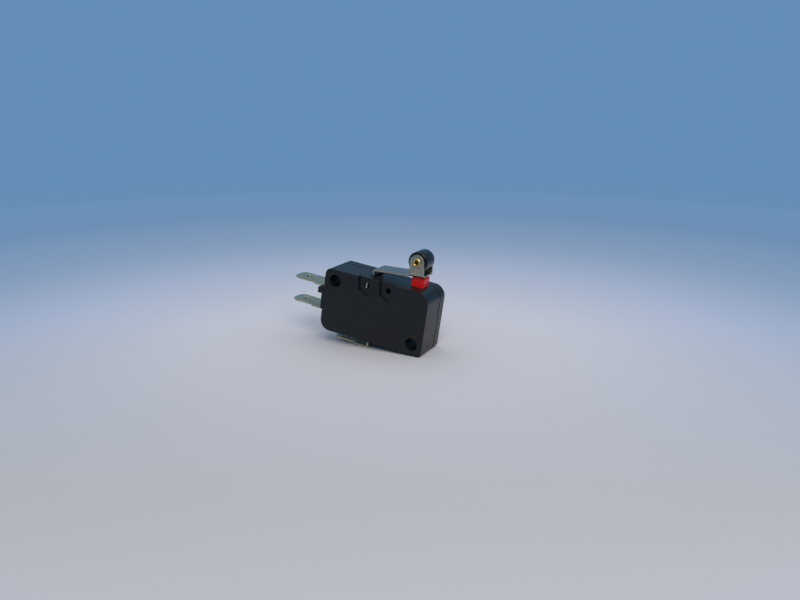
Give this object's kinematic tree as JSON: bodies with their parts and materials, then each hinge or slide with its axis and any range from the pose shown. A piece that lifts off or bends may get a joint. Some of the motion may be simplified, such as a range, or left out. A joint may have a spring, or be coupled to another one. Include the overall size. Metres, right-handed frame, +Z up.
{
  "type": "lever micro switch",
  "caption": "Miniature snap-action switch: a flat moulded housing with a hinged roller lever over a push button, flat tab terminals at one end and underneath.",
  "frame": {"origin": "centre of the two-hole mounting pattern, half way through the housing's thickness", "axes": "+X along the housing towards the plunger end, +Y from the front face to the rear cover along the mounting holes, +Z up to the lever"},
  "size_m": [0.0383, 0.0104, 0.0268],
  "materials": {
    "case_plastic": "satin moulded",
    "plunger_plastic": "smooth moulded",
    "lever_steel": "rolled strip",
    "roller_plastic": "smooth moulded",
    "rivet_brass": "pressed",
    "terminal_plating": "silver plated",
    "contact_silver": "headed rivet",
    "spring_copper": "rolled strip",
    "spring_wire": "drawn wire"
  },
  "bodies": {
    "housing": {"front_case": "case_plastic", "rear_cover": "case_plastic", "com_terminal": "terminal_plating", "nc_terminal": "terminal_plating", "no_terminal": "terminal_plating", "nc_contact": "contact_silver", "no_contact": "contact_silver"},
    "lever": {"roller_lever": "lever_steel", "roller_rivet": "rivet_brass"},
    "roller": {"roller": "roller_plastic"},
    "plunger": {"plunger": "plunger_plastic"},
    "rocker": {"rocker": "spring_copper", "snap_spring": "spring_wire"},
    "contact_arm": {"contact_arm": "spring_copper", "moving_contact": "contact_silver"}
  },
  "joints": [
    {"name": "lever_hinge", "type": "hinge", "parent": "housing", "child": "lever", "pos_m": [-0.00275, 0, 0.00595], "axis": [0, 1, 0], "range_deg": [0, 8.5], "stiffness_Nm_per_rad": 0.06, "springref_deg": -8.59},
    {"name": "roller_spin", "type": "hinge", "parent": "lever", "child": "roller", "pos_m": [0.00859, 0, 0.01409], "axis": [0, 1, 0], "continuous": true},
    {"name": "plunger_slide", "type": "slide", "parent": "housing", "child": "plunger", "axis": [0, 0, -1], "range_m": [0, 0.00177]},
    {"name": "rocker_pivot", "type": "hinge", "parent": "housing", "child": "rocker", "pos_m": [-0.00065, 0, -0.00335], "axis": [0, 1, 0], "range_deg": [0, 10.3], "deforming": ["snap_spring"]},
    {"name": "arm_pivot", "type": "hinge", "parent": "housing", "child": "contact_arm", "pos_m": [-0.0017, 0, 0], "axis": [0, 1, 0], "range_deg": [-7.85, 0]}
  ],
  "couplings": [
    {"joint": "plunger_slide", "follows": "lever_hinge", "m_per_rad": 0.01185},
    {"joint": "rocker_pivot", "follows": "lever_hinge", "ratio": 1.21},
    {"joint": "arm_pivot", "follows": "lever_hinge", "ratio": -0.92}
  ]
}
